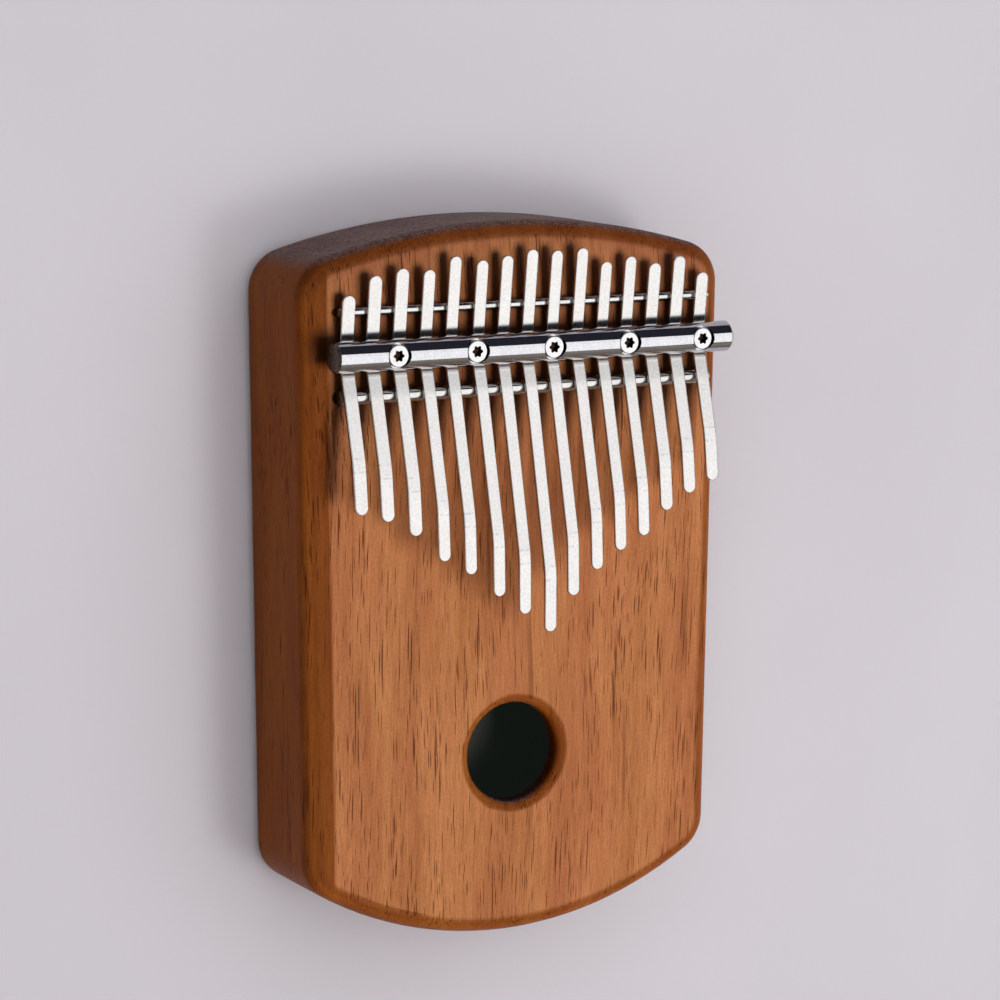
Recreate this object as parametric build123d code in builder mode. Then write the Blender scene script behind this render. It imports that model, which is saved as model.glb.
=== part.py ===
from build123d import *
import math
import os

# Box mbira with fifteen steel tines, lying on its back. Millimetres.
# X runs across the soundboard, +Y runs from the playing tips to the tails, +Z is the soundboard's normal.
# The origin is the middle of the flat back.

# ---------------------------------------------------------------- driving dimensions
# wooden body
body_length = 185.4
body_width = 120.0          # at mid length
side_lean = 0.0136          # half width gained per millimetre towards the tail end
top_arc_radius = 194.0      # crown of the tail end
bottom_arc_radius = 102.0   # crown of the sound hole end
corner_radius = 11.0
body_thickness = 34.0
edge_round = 4.6
wall_thickness = 9.0
soundboard_thickness = 5.0
plate_thickness = 3.0
rebate_margin = 6.5         # from the body's outline to the rebate for the back plate
plate_play = 0.1
hole_radius = 13.0
hole_y = -45.0
hole_round = 2.8

# steel hardware, heights above the soundboard
hardware_x = 1.7            # the set sits slightly right of the body's centre line
bar_diameter = 8.0
bar_length = 114.0
bar_y = 61.3
bar_height = 6.1
bar_chamfer = 0.6
bridge_rod_diameter = 4.0
bridge_rod_y = 50.5
bridge_rod_height = 1.28
tail_rod_diameter = 2.5
tail_rod_y = 71.8
tail_rod_height = 0.78
rod_length = 107.5
rod_x = hardware_x + 0.5
rod_chamfer = 0.4
groove_play = 0.05
groove_end_play = 1.4       # groove left open beyond each end of a rod

# screws
screw_count = 5
screw_pitch = 22.05
screw_x = hardware_x + 3.7  # middle screw, in the gap beside the longest tine
head_diameter = 5.6
head_height = 1.7
head_round = 0.25
shank_diameter = 2.8
shank_length = 22.0
screw_point = 2.5
lobe_count = 6
lobe_ring_radius = 1.05
lobe_radius = 0.4
recess_depth = 1.2
bar_hole_diameter = 3.2
counterbore_diameter = 6.4
counterbore_depth = 2.3

# hardwood block under the soundboard that takes the screws
block_length = 100.0
block_width = 20.0
block_height = 12.0
block_chamfer = 1.0

# tines, heights above the soundboard
tine_thickness = 0.9
tine_pitch = 7.3
inner_width = 3.3
outer_width = 3.6
outer_count = 3             # wide tines at each side of the set
tail_slope = 0.12
under_bar_height = 1.3      # corner of the bent centre line below the bar
under_bar_shift = 1.0       # that corner sits this far to the playing side of the bar's axis
over_rod_height = 4.2       # centre line above the bridge rod
under_bar_radius = 12.0
tip_bend_radius = 25.0
tongue_gap = 0.5            # between a tine's clamped root and its free tongue
strip_overrun = 1.0         # raw strip beyond its rounded end
tip_y = (22.4, 20.3, 16.3, 9.5, 5.7, -0.4, -5.4, -10.5, -1.9, 4.1, 8.4, 11.6, 17.5, 21.4, 24.1)
tail_y = (76.2, 80.9, 82.4, 81.8, 84.9, 83.6, 84.5, 85.8, 85.3, 85.6, 81.8, 82.9, 80.9, 82.4, 77.9)
side_step = {2: -0.2, 3: -0.1, 4: 0.1, 6: 0.4, 7: 0.2, 9: -0.1, 12: -0.1}  # uneven spacing

# ---------------------------------------------------------------- worked-out sizes
tine_count = len(tip_y)
middle_tine = (tine_count + 1) // 2
under_bar_y = bar_y - under_bar_shift
shortest_reach = bridge_rod_y - max(tip_y)
longest_reach = bridge_rod_y - min(tip_y)
bar_radius = bar_diameter / 2
seat_height = bar_height + bar_radius - counterbore_depth
block_top = body_thickness - soundboard_thickness
screw_places = [
    (screw_x + screw_pitch * (n - (screw_count - 1) / 2), bar_y) for n in range(screw_count)
]


def half_width(y):
    """Half the body's width at height y along it."""
    return body_width / 2 + side_lean * y


def arc_drop(radius, half_chord):
    """How far an arc falls from its crown to the ends of its chord."""
    return radius - math.sqrt(radius**2 - half_chord**2)


def body_outline(inset=0.0):
    """Flat outline of the body, or the same outline moved inwards."""
    top_corner = body_length / 2 - arc_drop(top_arc_radius, half_width(body_length / 2))
    low_corner = arc_drop(bottom_arc_radius, half_width(-body_length / 2)) - body_length / 2
    top_half = half_width(top_corner)
    low_half = half_width(low_corner)
    with BuildSketch() as outline:
        with BuildLine():
            Line((low_half, low_corner), (top_half, top_corner))
            ThreePointArc((top_half, top_corner), (0, body_length / 2), (-top_half, top_corner))
            Line((-top_half, top_corner), (-low_half, low_corner))
            ThreePointArc((-low_half, low_corner), (0, -body_length / 2), (low_half, low_corner))
        make_face()
        fillet(outline.vertices(), corner_radius)
        if inset:
            offset(amount=-inset, mode=Mode.REPLACE)
    return outline.sketch


def save(part, name):
    """Label one finished piece and write its file."""
    part.label = name
    export_step(part, f"parts/{name}.step")


os.makedirs("parts", exist_ok=True)

# ---------------------------------------------------------------- body shell
# One block: crowned ends, rounded edges, routed hollow from behind, sound hole and rod grooves.
rods = (
    (bridge_rod_diameter / 2, bridge_rod_y, bridge_rod_height),
    (tail_rod_diameter / 2, tail_rod_y, tail_rod_height),
)

with BuildPart() as body_shell:
    with BuildSketch():
        add(body_outline())
    extrude(amount=body_thickness)
    fillet(body_shell.faces().filter_by(Axis.Z).edges(), edge_round)
    with BuildSketch():
        add(body_outline(rebate_margin))
    extrude(amount=plate_thickness, mode=Mode.SUBTRACT)
    with BuildSketch():
        add(body_outline(wall_thickness))
    extrude(amount=body_thickness - soundboard_thickness, mode=Mode.SUBTRACT)
    with Locations((0, hole_y, body_thickness)):
        Hole(hole_radius, depth=soundboard_thickness * 2)
    fillet(
        body_shell.edges()
        .filter_by(GeomType.CIRCLE)
        .filter_by(lambda edge: abs(edge.radius - hole_radius) < 0.01)
        .sort_by(Axis.Z)[-1],
        hole_round,
    )
    for radius, y, height in rods:
        groove_radius = radius + groove_play
        groove_z = body_thickness + height + groove_play
        half_groove = rod_length / 2 + groove_end_play - groove_radius
        with Locations((rod_x, y, groove_z)):
            Cylinder(groove_radius, 2 * half_groove, rotation=(0, 90, 0), mode=Mode.SUBTRACT)
        with Locations((rod_x - half_groove, y, groove_z), (rod_x + half_groove, y, groove_z)):
            Sphere(groove_radius, mode=Mode.SUBTRACT)
    with Locations(*[(x, y, body_thickness) for x, y in screw_places]):
        Hole(shank_diameter / 2, depth=soundboard_thickness * 2)
save(body_shell.part, "body_shell")

# ---------------------------------------------------------------- back plate
with BuildPart() as back_plate:
    with BuildSketch():
        add(body_outline(rebate_margin + plate_play))
    extrude(amount=plate_thickness)
save(back_plate.part, "back_plate")

# ---------------------------------------------------------------- screw block
with BuildPart() as screw_block:
    with Locations((0, bar_y, block_top - block_height / 2)):
        Box(block_length, block_width, block_height)
    chamfer(screw_block.faces().sort_by(Axis.Z)[0].edges(), block_chamfer)
    with Locations(*[(x, y, block_top) for x, y in screw_places]):
        Hole(shank_diameter / 2, depth=block_height)
save(screw_block.part, "screw_block")

# ---------------------------------------------------------------- bridge rod and tail rod
with BuildPart() as bridge_rod:
    with Locations((rod_x, bridge_rod_y, body_thickness + bridge_rod_height)):
        Cylinder(bridge_rod_diameter / 2, rod_length, rotation=(0, 90, 0))
    chamfer(bridge_rod.edges().filter_by(GeomType.CIRCLE), rod_chamfer)
save(bridge_rod.part, "bridge_rod")

with BuildPart() as tail_rod:
    with Locations((rod_x, tail_rod_y, body_thickness + tail_rod_height)):
        Cylinder(tail_rod_diameter / 2, rod_length, rotation=(0, 90, 0))
    chamfer(tail_rod.edges().filter_by(GeomType.CIRCLE), rod_chamfer)
save(tail_rod.part, "tail_rod")

# ---------------------------------------------------------------- pressure bar
with BuildPart() as pressure_bar:
    with Locations((hardware_x, bar_y, body_thickness + bar_height)):
        Cylinder(bar_radius, bar_length, rotation=(0, 90, 0))
    chamfer(pressure_bar.edges().filter_by(GeomType.CIRCLE), bar_chamfer)
    with Locations(*[(x, y, body_thickness + bar_height + bar_radius) for x, y in screw_places]):
        CounterBoreHole(bar_hole_diameter / 2, counterbore_diameter / 2, counterbore_depth)
save(pressure_bar.part, "pressure_bar")

# ---------------------------------------------------------------- bar screws
# Flat cheese heads with a six-lobe recess, seated in the bar's counterbores.
with BuildPart() as bar_screws:
    seat = Plane.XY.offset(body_thickness + seat_height)
    head_top = Plane.XY.offset(body_thickness + seat_height + head_height)
    shank_end = Plane.XY.offset(body_thickness + seat_height - shank_length)
    with BuildSketch(seat):
        with Locations(*screw_places):
            Circle(head_diameter / 2)
    extrude(amount=head_height)
    fillet(bar_screws.faces().sort_by(Axis.Z)[-screw_count:].edges(), head_round)
    with BuildSketch(seat):
        with Locations(*screw_places):
            Circle(shank_diameter / 2)
    extrude(amount=-shank_length)
    chamfer(
        bar_screws.faces().sort_by(Axis.Z)[:screw_count].edges(),
        length=screw_point,
        length2=shank_diameter / 2 - 0.1,
    )
    with BuildSketch(head_top):
        with Locations(*screw_places):
            Circle(lobe_ring_radius)
            with PolarLocations(lobe_ring_radius, lobe_count):
                Circle(lobe_radius)
    extrude(amount=-recess_depth, mode=Mode.SUBTRACT)
save(bar_screws.part, "bar_screws")


# ---------------------------------------------------------------- tines
def tine_place(number):
    """Middle of a tine across the set."""
    return hardware_x + tine_pitch * (number - middle_tine) + side_step.get(number, 0.0)


def tine_width(number):
    """The outer tines are a little wider than the inner ones."""
    is_outer = number <= outer_count or number > tine_count - outer_count
    return outer_width if is_outer else inner_width


def strip(centre_line, bend_radius, x, width, round_end, square_end):
    """Flat strip bent along a centre line of (y, z) points, with one full-round end."""
    beyond = square_end + math.copysign(width, square_end - round_end)
    with BuildPart() as piece:
        with BuildSketch(Plane.YZ.offset(x - width / 2)):
            with BuildLine():
                FilletPolyline(*centre_line, radius=bend_radius)
            trace(line_width=tine_thickness)
        extrude(amount=width)
        with BuildSketch(Plane.XY.offset(body_thickness)):
            with Locations((x, (round_end + beyond) / 2)):
                SlotOverall(abs(round_end - beyond), width, rotation=90)
        extrude(amount=body_thickness, mode=Mode.INTERSECT)
    return piece.part


for number in range(1, tine_count + 1):
    tip = tip_y[number - 1]
    tail = tail_y[number - 1]
    reach = bridge_rod_y - tip
    longness = (reach - shortest_reach) / (longest_reach - shortest_reach)

    # The short tines rise steeper and keep more slope at the tip than the long ones.
    play_slope = 0.28 - 0.05 * longness
    tip_slope = 0.13 - 0.13 * longness
    bend_y = tip + 12.0 + 3.0 * longness

    base = body_thickness
    raw_tail = tail + strip_overrun
    tail_point = (raw_tail, base + under_bar_height + tail_slope * (raw_tail - under_bar_y))
    bar_point = (under_bar_y, base + under_bar_height)
    rod_point = (bridge_rod_y, base + over_rod_height)
    bend_point = (bend_y, base + over_rod_height + play_slope * (bridge_rod_y - bend_y))
    tip_point = (tip - strip_overrun, bend_point[1] + tip_slope * (bend_y - tip + strip_overrun))
    tongue_start = (bridge_rod_y - tongue_gap, base + over_rod_height + play_slope * tongue_gap)

    x = tine_place(number)
    width = tine_width(number)
    root = strip((tail_point, bar_point, rod_point), under_bar_radius, x, width, tail, bridge_rod_y)
    save(root, f"tine_root_{number:02d}")
    tongue = strip((tongue_start, bend_point, tip_point), tip_bend_radius, x, width, tip, bridge_rod_y)
    save(tongue, f"tine_tongue_{number:02d}")
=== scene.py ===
import math

import bmesh
import bpy
import numpy as np
from mathutils import Matrix, Vector


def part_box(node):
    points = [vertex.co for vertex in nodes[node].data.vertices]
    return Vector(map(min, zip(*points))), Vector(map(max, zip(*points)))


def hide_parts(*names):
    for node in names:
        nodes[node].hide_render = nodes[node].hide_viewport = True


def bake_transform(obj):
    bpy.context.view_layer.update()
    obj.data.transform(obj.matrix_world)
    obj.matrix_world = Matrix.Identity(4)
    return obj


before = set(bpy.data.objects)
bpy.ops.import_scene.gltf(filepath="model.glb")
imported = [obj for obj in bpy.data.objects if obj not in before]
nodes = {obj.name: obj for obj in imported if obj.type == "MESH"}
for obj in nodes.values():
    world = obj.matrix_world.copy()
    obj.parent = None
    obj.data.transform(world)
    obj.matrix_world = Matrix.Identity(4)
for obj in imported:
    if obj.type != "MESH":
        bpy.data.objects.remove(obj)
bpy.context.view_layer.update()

MM = 0.001
shell_low, shell_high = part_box("body_shell")
board_z = shell_high.z  # soundboard face
board_centre = Vector(((shell_low.x + shell_high.x) / 2, (shell_low.y + shell_high.y) / 2, board_z))


# ---------------------------------------------------------------- node helpers
def new_material(name):
    material = bpy.data.materials.new(name)
    material.use_nodes = True
    material.node_tree.nodes.clear()
    return material


def add(material, kind, inputs=None, **settings):
    """A shader node. Sockets in inputs are linked, plain values are set."""
    node = material.node_tree.nodes.new("ShaderNode" + kind)
    for key, value in settings.items():
        setattr(node, key, value)
    for key, value in (inputs or {}).items():
        if isinstance(value, bpy.types.NodeSocket):
            material.node_tree.links.new(value, node.inputs[key])
        else:
            node.inputs[key].default_value = value
    return node


def maths(material, operation, a, b=0.0, c=0.0, clamp=False):
    inputs = {0: a, 1: b, 2: c}
    return add(material, "Math", inputs, operation=operation, use_clamp=clamp).outputs[0]


def scaled(material, vector, scale):
    return add(material, "VectorMath", {0: vector, 1: scale}, operation="MULTIPLY").outputs[0]


def noise(material, vector, scale, detail=2.0, roughness=0.5, output=0):
    node = add(
        material,
        "TexNoise",
        {"Vector": scaled(material, vector, scale), "Scale": 1.0, "Detail": detail, "Roughness": roughness},
    )
    return node.outputs[output]


def span(material, value, low, high, to_low=0.0, to_high=1.0):
    """Maps low..high smoothly to to_low..to_high."""
    inputs = {0: value, 1: low, 2: high, 3: to_low, 4: to_high}
    return add(material, "MapRange", inputs, interpolation_type="SMOOTHSTEP").outputs[0]


def colour_mix(material, factor, a, b, blend="MIX"):
    node = add(material, "Mix", data_type="RGBA", blend_type=blend)
    for socket, value in ((node.inputs[0], factor), (node.inputs[6], a), (node.inputs[7], b)):
        if isinstance(value, bpy.types.NodeSocket):
            material.node_tree.links.new(value, socket)
        else:
            socket.default_value = value
    return node.outputs[2]


def ramp(material, factor, *stops):
    node = add(material, "ValToRGB", {0: factor})
    elements = node.color_ramp.elements
    while len(elements) < len(stops):
        elements.new(0.5)
    for element, (place, colour) in zip(elements, stops):
        element.position = place
        element.color = colour
    return node.outputs[0]


def rgb(red, green, blue):
    """Linear colour from 0..255 display values."""
    values = [v / 255 for v in (red, green, blue)]
    return [v / 12.92 if v <= 0.04045 else ((v + 0.055) / 1.055) ** 2.4 for v in values] + [1.0]


def finish_surface(material, colour, roughness, height, depth, **constants):
    bump = add(material, "Bump", {"Height": height, "Distance": depth, "Strength": 1.0})
    inputs = {"Base Color": colour, "Roughness": roughness, "Normal": bump.outputs[0]}
    inputs.update(constants)
    shader = add(material, "BsdfPrincipled", inputs)
    add(material, "OutputMaterial", {"Surface": shader.outputs[0]})
    return material


# ---------------------------------------------------------------- wood
WHITE = (1, 1, 1, 1)
TO_MM = (1000.0,) * 3
DRIFT_REACH = 16.0  # millimetres that the grain wanders slowly
WAVE_REACH = 0.45  # millimetres that it waves
PORE_SOFTNESS = 0.08
PORE_LAYERS = (  # width and length of a pore's cell in millimetres, radius as a share of the cell, seed
    (0.50, 13.0, 0.23, 37.0),
    (0.80, 27.0, 0.22, 0.0),
    (1.2, 55.0, 0.16, 91.0),
)
# painted shade: sides and rounded edges are made darker and warmer than the front and back
EDGE_SHADES = (  # by how squarely the surface faces the front or the back
    (0.0, (0.60, 0.40, 0.10, 1)),
    (0.55, (0.60, 0.41, 0.12, 1)),
    (0.78, (0.66, 0.47, 0.16, 1)),
    (0.93, (0.54, 0.40, 0.20, 1)),
    (0.985, (0.60, 0.50, 0.35, 1)),
    (0.9999, WHITE),
)
SIDE_LEAN = 0.0136  # the body's half width gains this per millimetre towards the tails
HALF_WIDTH = 60.0  # at the middle of its length
TOP_ARC_RADIUS = 194.0  # crown of the tail end
TOP_ARC_Y = -101.3  # the middle of that arc
LEFT_SHADE_BORDER = (7.8, 9.0)  # where the painted shade fades out, in millimetres from the left side
LEFT_SHADE_UNEVENNESS = 2.4
LEFT_SHADE_TONE = (0.46, 0.33, 0.14, 1)
TAIL_BORDER = (4.0, 11.0)  # where the darker tail end fades out, in millimetres from the top
TAIL_UNEVENNESS = 3.0
TAIL_SHADE = (0.76, 0.72, 0.80, 1)
HOLE_END_TONE = (0.52, 0.47, 0.50, 1)
# reach and samples of the painted shade under nearby parts
OCCLUSION_SHADE_REACH = 9.0 * MM
OCCLUSION_SHADE_SAMPLES = 6
# painted shade and a glow that stands in for stray light, on the face inside the box
INSIDE_SHADE = rgb(80, 88, 84)
STRAY_LIGHT_GLOW = (0.0050, 0.0074, 0.0058, 1)


def wandering(m, mm):
    """Coordinates bent so that the grain wanders slowly, then waves a little."""
    drift = noise(m, mm, (0.014, 0.0065, 0.014), 1.0, 0.4, output=1)
    wave = noise(m, mm, (0.12, 0.022, 0.12), 1.0, 0.4, output=1)
    for source, reach in ((drift, DRIFT_REACH), (wave, WAVE_REACH)):
        centred = add(m, "VectorMath", {0: source, 1: (0.5,) * 3}, operation="SUBTRACT").outputs[0]
        shift = scaled(m, centred, (reach, 0.0, reach))
        mm = add(m, "VectorMath", {0: mm, 1: shift}, operation="ADD").outputs[0]
    return mm


def pore_mask(m, mm):
    """Thin pores of three lengths along the grain, larger where they cluster."""
    cluster = noise(m, mm, (0.22, 0.020, 0.22), 2.0, 0.5)
    pores = None
    for width, length, radius, seed in PORE_LAYERS:
        place = add(m, "VectorMath", {0: mm, 1: (seed,) * 3}, operation="ADD").outputs[0]
        vector = scaled(m, place, (1 / width, 1 / length, 1 / width))
        cells = add(m, "TexVoronoi", {"Vector": vector, "Scale": 1.0}).outputs["Distance"]
        size = span(m, cluster, 0.30, 0.72, radius * 0.55, radius * 1.3)
        layer = maths(m, "DIVIDE", maths(m, "SUBTRACT", size, cells), PORE_SOFTNESS, clamp=True)
        pores = layer if pores is None else maths(m, "MAXIMUM", pores, layer)
    return pores


def shaded_front(m, tone, plain, normal_z, band):
    """The edge shade, with more painted shade at the left front edge and towards the tail end."""
    # painted shade covers a little of the flat front beside the left edge, with an uneven border
    place = add(m, "SeparateXYZ", {0: plain}).outputs
    from_left = maths(m, "MULTIPLY_ADD", place[1], SIDE_LEAN, maths(m, "ADD", place[0], HALF_WIDTH))
    uneven = maths(m, "MULTIPLY_ADD", band, LEFT_SHADE_UNEVENNESS, from_left)
    left_shade = span(m, uneven, *LEFT_SHADE_BORDER, 1.0, 0.0)
    left_shade = maths(m, "MULTIPLY", left_shade, span(m, normal_z, 0.80, 0.95))
    tone = colour_mix(m, left_shade, tone, LEFT_SHADE_TONE)

    # painted shade: the front also darkens softly towards the tail end
    from_middle = add(m, "VectorMath", {0: plain, 1: (0.0, -TOP_ARC_Y, 0.0)}, operation="ADD").outputs[0]
    flat_place = scaled(m, from_middle, (1.0, 1.0, 0.0))
    radius = add(m, "VectorMath", {0: flat_place}, operation="LENGTH").outputs["Value"]
    from_top = maths(m, "MULTIPLY_ADD", band, TAIL_UNEVENNESS, maths(m, "SUBTRACT", TOP_ARC_RADIUS, radius))
    near_top = span(m, from_top, *TAIL_BORDER, 1.0, 0.0)
    shade = maths(m, "MULTIPLY", near_top, span(m, normal_z, 0.10, 0.50))
    return colour_mix(m, shade, tone, colour_mix(m, 1.0, tone, TAIL_SHADE, "MULTIPLY"))


def wood(name, offset, light, middle, dark, pore, end_tone_and_sheen, shaded_inside=False, body_shading=False):
    """Solid open-pored hardwood with its grain along Y, so that the top and bottom show end grain."""
    m = new_material(name)
    coords = add(m, "TexCoord")
    plain = scaled(m, coords.outputs["Object"], TO_MM)
    mm = wandering(m, add(m, "VectorMath", {0: plain, 1: offset}, operation="ADD").outputs[0])

    ribbon = noise(m, mm, (0.085, 0.014, 0.085), 2.0, 0.55)
    band = noise(m, mm, (0.45, 0.016, 0.45), 3.0, 0.6)
    fibre = noise(m, mm, (2.4, 0.11, 2.4), 3.0, 0.65)
    fleck = noise(m, mm, (2.2, 1.5, 2.2), 2.0, 0.7)
    streak = span(m, noise(m, mm, (0.55, 0.014, 0.55), 1.0, 0.5), 0.64, 0.80)
    pores = pore_mask(m, mm)

    tone = maths(m, "ADD", maths(m, "MULTIPLY", ribbon, 0.62), maths(m, "MULTIPLY", band, 0.38))
    colour = ramp(m, tone, (0.36, dark), (0.50, middle), (0.63, light))
    grain = ramp(m, fibre, (0.30, (0.82, 0.78, 0.74, 1)), (0.62, (1.08, 1.08, 1.08, 1)))
    colour = colour_mix(m, 1.0, colour, grain, "MULTIPLY")
    sand = ramp(m, fleck, (0.30, (0.88, 0.87, 0.86, 1)), (0.70, (1.10, 1.10, 1.10, 1)))
    colour = colour_mix(m, 1.0, colour, sand, "MULTIPLY")
    colour = colour_mix(m, maths(m, "MULTIPLY", streak, 0.40), colour, pore)
    colour = colour_mix(m, maths(m, "MULTIPLY", pores, 0.85), colour, pore)

    # slow change between a pinker and a yellower brown
    cast_amount = noise(m, mm, (0.050, 0.018, 0.050), 2.0, 0.5)
    cast = ramp(m, cast_amount, (0.35, (1.02, 0.98, 1.02, 1)), (0.65, (0.99, 1.01, 0.96, 1)))
    raw = colour_mix(m, 1.0, colour, cast, "MULTIPLY")

    # painted shade: rounded edges and sides are darker and warmer the less squarely they face the front or
    # back
    normal = add(m, "SeparateXYZ", {0: coords.outputs["Normal"]}).outputs
    edge_shade = ramp(m, maths(m, "ABSOLUTE", normal[2]), *EDGE_SHADES)
    if body_shading:
        edge_shade = shaded_front(m, edge_shade, plain, normal[2], band)
    colour = colour_mix(m, 1.0, raw, edge_shade, "MULTIPLY")

    # painted shade: the wood is darkened where nearby parts hide it, under the tines, rods and bar
    near = add(m, "AmbientOcclusion", {"Distance": OCCLUSION_SHADE_REACH}, samples=OCCLUSION_SHADE_SAMPLES).outputs["AO"]
    grime_and_shade = ramp(m, near, (0.15, (0.30, 0.29, 0.30, 1)), (0.90, WHITE))
    colour = colour_mix(m, 1.0, colour, grime_and_shade, "MULTIPLY")

    # end grain is duller and speckled, and its tone also holds a painted grey-blue sheen, which on the body
    # is left off at the sound hole's end
    end_grain = span(m, maths(m, "ABSOLUTE", normal[1]), 0.60, 0.94)
    tail_side = span(m, normal[1], -0.5, 0.5)
    if body_shading:
        end_tone_and_sheen = colour_mix(m, tail_side, HOLE_END_TONE, end_tone_and_sheen)
    dull = colour_mix(m, 1.0, raw, end_tone_and_sheen, "MULTIPLY")
    cut_pores = noise(m, mm, (1.1, 1.2, 2.8), 3.0, 0.7)
    speckle = ramp(m, cut_pores, (0.40, (0.42, 0.40, 0.38, 1)), (0.58, (1.50, 1.50, 1.50, 1)))
    speckled = colour_mix(m, 1.0, dull, speckle, "MULTIPLY")
    dull = colour_mix(m, maths(m, "MULTIPLY_ADD", tail_side, 0.5, 0.5), dull, speckled)
    colour = colour_mix(m, end_grain, colour, dull)

    constants = {"IOR": 1.48, "Specular IOR Level": 0.06}
    if shaded_inside:
        # painted shade and glow: the face inside the box is painted near black, and glows faintly in place
        # of the stray light that a deep hole shows
        inside = span(m, normal[2], 0.4, 0.6)
        colour = colour_mix(m, maths(m, "MULTIPLY", inside, 0.93), colour, INSIDE_SHADE)
        constants["Emission Color"] = colour_mix(m, inside, (0, 0, 0, 1), STRAY_LIGHT_GLOW)
        constants["Emission Strength"] = 1.0

    rough = maths(m, "ADD", maths(m, "MULTIPLY", fibre, 0.16), maths(m, "MULTIPLY_ADD", pores, 0.2, 0.34))
    raised = maths(m, "MULTIPLY_ADD", fibre, 0.25, maths(m, "MULTIPLY", fleck, 0.25))
    height = maths(m, "SUBTRACT", raised, pores)
    return finish_surface(m, colour, rough, height, 0.05 * MM, **constants)


# ---------------------------------------------------------------- metal
PRESS_MARKS = (-0.0165, 0.0165)  # before and after a tine's bend, in its V coordinate
PRESS_MARK_WIDTH = 0.0045
LOBE_COUNT = 6.0
LOBE_DEPTH = 0.20 * MM
RECESS_RADIUS = 1.34 * MM  # the mean radius of the six-lobed outline
CORE_BORDER = (-0.05 * MM, 0.05 * MM)  # beyond the outline, on the top face
WALL_BORDER = (0.20 * MM, 0.35 * MM)  # beyond the outline, below the top face
WALL_DEPTH = (0.06 * MM, 0.02 * MM)  # below the top face, from full dirt and painted shade to none
SIDE_DEPTH = (0.60 * MM, 0.22 * MM)  # the same for the whole head


def press_marks(m, shade, along, mm):
    """Two faint press marks across the strip where it is bent."""
    marks = None
    for place in PRESS_MARKS:
        offset = maths(m, "ABSOLUTE", maths(m, "SUBTRACT", along, 0.5 + place))
        line = span(m, offset, 0.0, PRESS_MARK_WIDTH, 1.0, 0.0)
        marks = line if marks is None else maths(m, "MAXIMUM", marks, line)
    broken = span(m, noise(m, mm, (1.6, 0.5, 0.5), 2.0, 0.6), 0.40, 0.60)
    marks = maths(m, "MULTIPLY", maths(m, "MULTIPLY", marks, broken), 0.30)
    return colour_mix(m, marks, shade, rgb(120, 118, 118))


def dirty_shaded_recesses(m, shade, position, recesses):
    """Dirt and painted shade: darkens each recess, round the axis of one screw, and the head below its
    bright top face.
    """
    first_x, pitch, axis_y, top = recesses
    place = add(m, "SeparateXYZ", {0: position}).outputs
    turn_x = maths(m, "MODULO", maths(m, "SUBTRACT", place[0], first_x - pitch / 2), pitch)
    along_x = maths(m, "SUBTRACT", turn_x, pitch / 2)
    along_y = maths(m, "SUBTRACT", place[1], axis_y)
    squares = maths(m, "MULTIPLY_ADD", along_x, along_x, maths(m, "MULTIPLY", along_y, along_y))
    angle = maths(m, "ARCTAN2", along_y, along_x)
    lobes = maths(m, "COSINE", maths(m, "MULTIPLY", angle, LOBE_COUNT))
    outline = maths(m, "MULTIPLY_ADD", lobes, LOBE_DEPTH, RECESS_RADIUS)
    beyond = maths(m, "SUBTRACT", maths(m, "SQRT", squares), outline)
    core = span(m, beyond, *CORE_BORDER, 1.0, 0.0)
    near = span(m, beyond, *WALL_BORDER, 1.0, 0.0)
    deep = span(m, place[2], top - WALL_DEPTH[0], top - WALL_DEPTH[1], 1.0, 0.0)
    low = span(m, place[2], top - SIDE_DEPTH[0], top - SIDE_DEPTH[1], 1.0, 0.0)
    dirt_and_shade = maths(m, "MAXIMUM", maths(m, "MAXIMUM", maths(m, "MULTIPLY", near, deep), low), core)
    return colour_mix(m, dirt_and_shade, shade, rgb(40, 26, 20))


def steel(name, tint, rough, scratch_scale, bend_marks=False, recesses=None, dull_shaded_ends=False):
    """Bright steel with fine drawn or turned lines, faint stains and uneven gloss."""
    m = new_material(name)
    coords = add(m, "TexCoord").outputs
    mm = scaled(m, coords["Object"], TO_MM)
    lines = noise(m, mm, scratch_scale, 3.0, 0.7)
    cloud = noise(m, mm, (0.30, 0.16, 0.30), 3.0, 0.6)
    grime_and_shade = span(m, noise(m, mm, (1.3, 0.9, 1.3), 4.0, 0.7), 0.56, 0.80)
    shade = ramp(m, cloud, (0.25, [0.90 * v for v in tint[:3]] + [1]), (0.75, tint))
    shade = colour_mix(m, maths(m, "MULTIPLY", grime_and_shade, 0.10), shade, rgb(96, 88, 80))
    grains = noise(m, mm, (2.4, 1.8, 2.4), 2.0, 0.7)
    grit = ramp(m, grains, (0.30, (0.90, 0.89, 0.88, 1)), (0.60, (1.03, 1.03, 1.03, 1)))
    shade = colour_mix(m, 1.0, shade, grit, "MULTIPLY")
    scratched = maths(m, "MULTIPLY_ADD", lines, rough * 0.5, rough * 0.5)
    gloss = maths(m, "ADD", maths(m, "MULTIPLY", cloud, rough * 0.5), scratched)
    if bend_marks:
        along = add(m, "SeparateXYZ", {0: coords["UV"]}).outputs[1]
        shade = press_marks(m, shade, along, mm)
    if dull_shaded_ends:
        # sawn and chamfered ends, left as machined and rougher, with a painted dark brown reflection of dim
        # surroundings
        sideways = add(m, "SeparateXYZ", {0: coords["Normal"]}).outputs[0]
        ends = span(m, maths(m, "ABSOLUTE", sideways), 0.35, 0.6)
        shade = colour_mix(m, maths(m, "MULTIPLY", ends, 0.9), shade, rgb(66, 54, 36))
        gloss = maths(m, "MULTIPLY_ADD", ends, 0.2, gloss)
    if recesses is not None:
        shade = dirty_shaded_recesses(m, shade, coords["Object"], recesses)
    return finish_surface(m, shade, gloss, lines, 0.004 * MM, Metallic=1.0)


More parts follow.
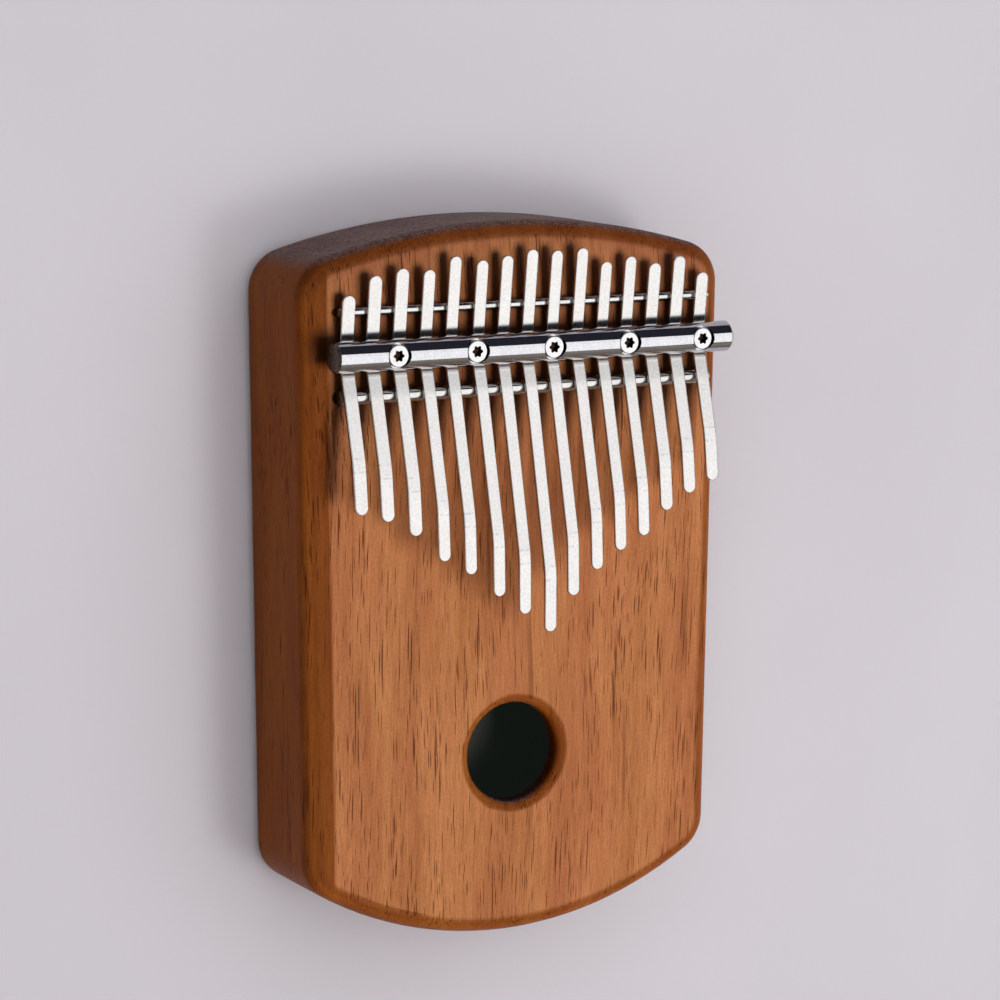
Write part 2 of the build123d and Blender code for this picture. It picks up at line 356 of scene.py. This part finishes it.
# ---------------------------------------------------------------- tines
# places, heights above the soundboard, slopes and radii of the centre line, in millimetres, as in the CAD
TINE_THICKNESS = 0.9
BAR_Y = 61.3
UNDER_BAR_SHIFT = 1.0
UNDER_BAR_HEIGHT = 1.3
BRIDGE_ROD_Y = 50.5
OVER_ROD_HEIGHT = 4.2
TAIL_SLOPE = 0.12
UNDER_BAR_RADIUS = 12.0
OVER_ROD_RADIUS = 20.0
TIP_BEND_RADIUS = 25.0
PLAY_SLOPE = 0.28  # of the free length, and how much less it is on the longest tine
PLAY_SLOPE_LOSS = 0.05
TIP_SLOPE = 0.13  # of the eased tip of the shortest tine, and none on the longest
TIP_LENGTH = 12.0  # from the tip bend to the tip, and how much more it is on the longest tine
TIP_LENGTH_GAIN = 3.0

# the mesh itself
OVERRUN = 1.0  # of the centre line past both ends
EDGE_ROUND = 0.16
FLAT_INSET = 2.2  # of the first row on the flat, in edge rounds
STATION_STEP = 0.8
SLOPE_REACH = 0.2
CURVE_POINTS = 25
EDGE_POINTS = 5
END_POINTS = 9
UV_ACROSS = 10.0  # millimetres to one unit of U
UV_ALONG = 100.0  # millimetres to one unit of V
WELD_DISTANCE = 1e-6


def smooth_line(corners, radii):
    """Dense (y, z) points along a line whose inner corners are rounded."""
    corners = [np.array(c, float) for c in corners]
    line = [corners[0]]
    for i, radius in enumerate(radii, 1):
        before = corners[i] - corners[i - 1]
        after = corners[i + 1] - corners[i]
        before /= np.linalg.norm(before)
        after /= np.linalg.norm(after)
        reach = radius * math.tan(math.acos(min(1.0, before @ after)) / 2)
        start, end = corners[i] - before * reach, corners[i] + after * reach
        for t in np.linspace(0, 1, CURVE_POINTS):
            line.append((1 - t) ** 2 * start + 2 * t * (1 - t) * corners[i] + t * t * end)
    line.append(corners[-1])
    return np.array(line)


def tine_mesh(name, x, width, tail, tip, centre_line, bend_y):
    """A flat strip with full-round ends and softly rounded edges, bent along its centre line."""
    half, thick = width / 2, TINE_THICKNESS / 2
    order = np.argsort(centre_line[:, 0])
    line_y, line_z = centre_line[order, 0], centre_line[order, 1]

    # levels round the section: (inset from the outline, height from the centre line)
    quarter = [
        (EDGE_ROUND * (1 - math.sin(a)), thick - EDGE_ROUND * (1 - math.cos(a)))
        for a in np.linspace(0, math.pi / 2, EDGE_POINTS)
    ]
    upper = [(EDGE_ROUND * FLAT_INSET, thick)] + quarter
    levels = upper + [(inset, -height) for inset, height in reversed(upper)]

    # stations along the strip: (middle of the round end or of the row, sine, cosine)
    turns = np.linspace(math.pi / 2, 0, END_POINTS)
    straight = np.arange(tail - half - STATION_STEP, tip + half, -STATION_STEP)
    stations = [(tail - half, math.sin(a), math.cos(a)) for a in turns]
    stations += [(y, 0.0, 1.0) for y in straight]
    stations += [(tip + half, -math.sin(a), math.cos(a)) for a in reversed(turns)]

    points, uvs = [], []
    for side in (1, -1):
        for inset, height in levels:
            radius = half - inset
            for middle, sine, cosine in stations:
                flat_y = middle + radius * sine
                z = np.interp(flat_y, line_y, line_z)
                ahead, behind = np.interp((flat_y + SLOPE_REACH, flat_y - SLOPE_REACH), line_y, line_z)
                slope = (ahead - behind) / (2 * SLOPE_REACH)
                norm = math.hypot(1, slope)
                across = side * radius * cosine
                points.append((x + across, flat_y - slope * height / norm, z + height / norm))
                uvs.append((0.5 + across / UV_ACROSS, 0.5 + (flat_y - bend_y) / UV_ALONG))
    count, rows = len(stations), len(levels)

    def at(side, level, station):
        return (side * rows + level) * count + station

    faces = []
    for s in range(count - 1):
        for level in range(rows - 1):
            low = level + 1
            faces.append([at(0, level, s), at(0, low, s), at(0, low, s + 1), at(0, level, s + 1)])
            faces.append([at(1, level, s + 1), at(1, low, s + 1), at(1, low, s), at(1, level, s)])
        faces.append([at(1, 0, s), at(0, 0, s), at(0, 0, s + 1), at(1, 0, s + 1)])
        last = rows - 1
        faces.append([at(1, last, s + 1), at(0, last, s + 1), at(0, last, s), at(1, last, s)])

    mesh = bpy.data.meshes.new(name)
    mesh.from_pydata([Vector(p) * MM for p in points], [], faces)
    layer = mesh.uv_layers.new(name="UVMap")
    for loop in mesh.loops:
        layer.data[loop.index].uv = uvs[loop.vertex_index]
    work = bmesh.new()
    work.from_mesh(mesh)
    bmesh.ops.remove_doubles(work, verts=work.verts, dist=WELD_DISTANCE)
    bmesh.ops.recalc_face_normals(work, faces=work.faces)
    work.to_mesh(mesh)
    work.free()
    mesh.polygons.foreach_set("use_smooth", [True] * len(mesh.polygons))
    mesh.update()
    piece = bpy.data.objects.new(name, mesh)
    bpy.context.scene.collection.objects.link(piece)
    return piece


tine_steel = steel("tine_satin_steel", rgb(199, 197, 195), 0.15, (5.0, 0.12, 5.0), bend_marks=True)

numbers = sorted(int(n[-2:]) for n in nodes if n.startswith("tine_root_"))
tips = {n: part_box(f"tine_tongue_{n:02d}")[0].y / MM for n in numbers}
shortest, longest = BRIDGE_ROD_Y - max(tips.values()), BRIDGE_ROD_Y - min(tips.values())
base = board_z / MM
corner_y = BAR_Y - UNDER_BAR_SHIFT
for n in numbers:
    root_low, root_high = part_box(f"tine_root_{n:02d}")
    x = (root_low.x + root_high.x) / 2 / MM
    width = (root_high.x - root_low.x) / MM
    tail, tip = root_high.y / MM, tips[n]
    longness = (BRIDGE_ROD_Y - tip - shortest) / (longest - shortest)
    play_slope = PLAY_SLOPE - PLAY_SLOPE_LOSS * longness
    tip_slope = TIP_SLOPE - TIP_SLOPE * longness
    bend_y = tip + TIP_LENGTH + TIP_LENGTH_GAIN * longness
    bend_z = base + OVER_ROD_HEIGHT + play_slope * (BRIDGE_ROD_Y - bend_y)
    corners = (
        (tail + OVERRUN, base + UNDER_BAR_HEIGHT + TAIL_SLOPE * (tail + OVERRUN - corner_y)),
        (corner_y, base + UNDER_BAR_HEIGHT),
        (BRIDGE_ROD_Y, base + OVER_ROD_HEIGHT),
        (bend_y, bend_z),
        (tip - OVERRUN, bend_z + tip_slope * (bend_y - tip + OVERRUN)),
    )
    line = smooth_line(corners, (UNDER_BAR_RADIUS, OVER_ROD_RADIUS, TIP_BEND_RADIUS))
    tine = tine_mesh(f"tine_strip_{n:02d}", x, width, tail, tip, line, bend_y)
    tine.data.materials.append(tine_steel)
    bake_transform(tine)
    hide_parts(f"tine_root_{n:02d}", f"tine_tongue_{n:02d}")

# ---------------------------------------------------------------- carried-over CAD nodes
SCREW_COUNT = 5
body_wood = wood(
    "body_hardwood", offset=(0.0, 0.0, 0.0),
    light=rgb(205, 136, 86), middle=rgb(194, 124, 78), dark=rgb(179, 110, 68), pore=rgb(88, 40, 22),
    end_tone_and_sheen=(0.44, 0.68, 1.50, 1), body_shading=True,
)
back_wood = wood(
    "back_hardwood", offset=(61.0, 340.0, 23.0),
    light=rgb(190, 118, 64), middle=rgb(174, 103, 52), dark=rgb(148, 82, 40), pore=rgb(72, 30, 12),
    end_tone_and_sheen=(0.42, 0.50, 0.80, 1), shaded_inside=True,
)
block_wood = wood(
    "block_beech", offset=(19.0, 120.0, 7.0),
    light=rgb(222, 190, 148), middle=rgb(208, 172, 128), dark=rgb(188, 148, 104), pore=rgb(150, 108, 70),
    end_tone_and_sheen=(0.7, 0.7, 0.7, 1),
)
bar_steel = steel("bar_polished_steel", rgb(192, 192, 196), 0.07, (2.5, 0.6, 0.6), dull_shaded_ends=True)
rod_steel = steel("rod_drawn_steel", rgb(196, 194, 192), 0.14, (0.15, 6.0, 6.0), dull_shaded_ends=True)
screws_low, screws_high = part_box("bar_screws")
head_radius = (screws_high.y - screws_low.y) / 2
screw_pitch = (screws_high.x - screws_low.x - 2 * head_radius) / (SCREW_COUNT - 1)
screw_row = (screws_low.x + head_radius, screw_pitch, screws_low.y + head_radius, screws_high.z)
screw_steel = steel("screw_bright_steel", rgb(204, 204, 204), 0.16, (4.0, 4.0, 1.0), recesses=screw_row)
for node_name, material in (
    ("body_shell", body_wood),
    ("back_plate", back_wood),
    ("screw_block", block_wood),
    ("pressure_bar", bar_steel),
    ("bridge_rod", rod_steel),
    ("tail_rod", rod_steel),
    ("bar_screws", screw_steel),
):
    for slot in nodes[node_name].material_slots:
        slot.material = material

# ---------------------------------------------------------------- floor
FLOOR_HALF = 3.0
FLOOR_DROP = 0.0002
floor_paint = new_material("floor_paint")
floor_coords = add(floor_paint, "TexCoord").outputs["Object"]
mottle = noise(floor_paint, floor_coords, (4.0, 4.0, 4.0), 3.0, 0.6)
speck = noise(floor_paint, floor_coords, (900.0, 900.0, 900.0), 2.0, 0.6)
floor_colour = ramp(floor_paint, mottle, (0.3, rgb(217, 212, 218)), (0.7, rgb(225, 220, 226)))
finish_surface(floor_paint, floor_colour, 0.9, speck, 0.02 * MM)
floor_mesh = bpy.data.meshes.new("floor")
floor_corners = [(x * FLOOR_HALF, y * FLOOR_HALF, 0) for x, y in ((-1, -1), (1, -1), (1, 1), (-1, 1))]
floor_mesh.from_pydata(floor_corners, [], [(0, 1, 2, 3)])
floor_mesh.materials.append(floor_paint)
floor = bpy.data.objects.new("floor", floor_mesh)
bpy.context.scene.collection.objects.link(floor)
floor.location.z = -FLOOR_DROP


# ---------------------------------------------------------------- light
LIGHT_HEIGHT = 1.1  # metres over the soundboard
WALL_CARD_Z = 0.8
WALL_CARD_HEIGHT = 1.5
WALL_CARD_WIDTH = 3.6


def area_lamp(name, place, height, width, turn_y, radiance, mirrored, diffuse, floor_state):
    """A lamp of even brightness, never seen directly. A floor_state lights only the floor, or all but it."""
    light = bpy.data.lights.new(name, "AREA")
    light.shape = "RECTANGLE"
    light.size = height
    light.size_y = width
    light.energy = radiance * math.pi * height * width
    light.cycles.use_multiple_importance_sampling = mirrored
    lamp = bpy.data.objects.new(name, light)
    bpy.context.scene.collection.objects.link(lamp)
    lamp.location = place
    lamp.rotation_euler.y = turn_y
    lamp.visible_camera = False
    lamp.visible_glossy = mirrored
    lamp.visible_diffuse = diffuse
    if floor_state is not None:
        receivers = bpy.data.collections.new(name + "_receivers")
        receivers.objects.link(floor)
        receivers.collection_objects[0].light_linking.link_state = floor_state
        lamp.light_linking.receiver_collection = receivers


def soft_box(name, slope_x, slope_y, radiance, mirrored=False, diffuse=True, floor_state=None):
    """A flat soft box above the soundboard that spans these slopes, seen from the board's middle."""
    place = board_centre + Vector((sum(slope_x) / 2, sum(slope_y) / 2, 1.0)) * LIGHT_HEIGHT
    height = (slope_x[1] - slope_x[0]) * LIGHT_HEIGHT
    width = (slope_y[1] - slope_y[0]) * LIGHT_HEIGHT
    area_lamp(name, place, height, width, 0.0, radiance, mirrored, diffuse, floor_state)


def wall_card(name, x, radiance):
    """An upright card beside the instrument that only the steel mirrors."""
    turn_y = math.copysign(math.pi / 2, x)
    area_lamp(
        name, Vector((x, 0.0, WALL_CARD_Z)), WALL_CARD_HEIGHT, WALL_CARD_WIDTH, turn_y, radiance,
        mirrored=True, diffuse=False, floor_state=None,
    )


# white cards that only the steel mirrors, the key on the instrument, and the floor's own light
soft_box("card", (0.30, 0.90), (-0.97, 0.14), 1.7, mirrored=True, diffuse=False)
soft_box("card_top", (0.30, 0.90), (0.14, 0.54), 1.6, mirrored=True, diffuse=False)
soft_box("card_over", (-1.6, 0.16), (-1.4, 1.3), 0.8, mirrored=True, diffuse=False)
wall_card("card_right", 2.4, 0.9)
wall_card("card_left", -2.4, 0.3)
soft_box("key", (0.06, 0.62), (-0.52, 0.02), 11.2, floor_state="EXCLUDE")
soft_box("floor_key", (0.18, 0.50), (-0.46, -0.14), 7.0, floor_state="INCLUDE")
soft_box("floor_wash", (-1.1, 1.6), (-0.7, 2.3), 1.04, floor_state="INCLUDE")

# the studio: dim and bluish overhead and behind the tails, a warmer grey low in front
SKY_TONES = (  # from the front at 0 to behind the tails at 1
    (0.02, (0.15, 0.128, 0.11, 1)),
    (0.165, (0.42, 0.36, 0.31, 1)),
    (0.185, (0.03, 0.03, 0.035, 1)),
    (0.6, (0.03, 0.03, 0.042, 1)),
)
world = bpy.data.worlds.new("studio")
world.use_nodes = True
sky = world.node_tree
direction = sky.nodes.new("ShaderNodeTexCoord").outputs["Generated"]
split = sky.nodes.new("ShaderNodeSeparateXYZ")
sky.links.new(direction, split.inputs[0])
front = sky.nodes.new("ShaderNodeMapRange")
for place, value in ((1, -1.0), (2, 1.0)):
    front.inputs[place].default_value = value
sky.links.new(split.outputs[1], front.inputs[0])
tones = sky.nodes.new("ShaderNodeValToRGB")
for element, (place, shade) in zip(tones.color_ramp.elements, SKY_TONES):
    element.position = place
    element.color = shade
for place, shade in SKY_TONES[2:]:
    tones.color_ramp.elements.new(place).color = shade
sky.links.new(front.outputs[0], tones.inputs[0])
sky.links.new(tones.outputs[0], sky.nodes["Background"].inputs[0])
bpy.context.scene.world = world
bpy.context.scene.view_settings.view_transform = "Standard"

# ---------------------------------------------------------------- camera
YAW, PITCH, ROLL = math.radians(28.88), math.radians(9.08), math.radians(-0.33)
SENSOR_MM, LENS_MM = 36.0, 127.5
NEAR_CLIP = 0.01
TO_BOARD = Vector((4.13, -21.0, -909.15)) * MM  # board centre from the camera, in its own axes
turn = Matrix.Rotation(ROLL, 3, "Z") @ Matrix.Rotation(PITCH, 3, "X") @ Matrix.Rotation(YAW, 3, "Y")
camera_data = bpy.data.cameras.new("camera")
camera_data.sensor_width = SENSOR_MM
camera_data.lens = LENS_MM
camera_data.clip_start = NEAR_CLIP
camera = bpy.data.objects.new("camera", camera_data)
bpy.context.scene.collection.objects.link(camera)
axes = turn.transposed()
camera.matrix_world = Matrix.Translation(board_centre - axes @ TO_BOARD) @ axes.to_4x4()
bpy.context.scene.camera = camera
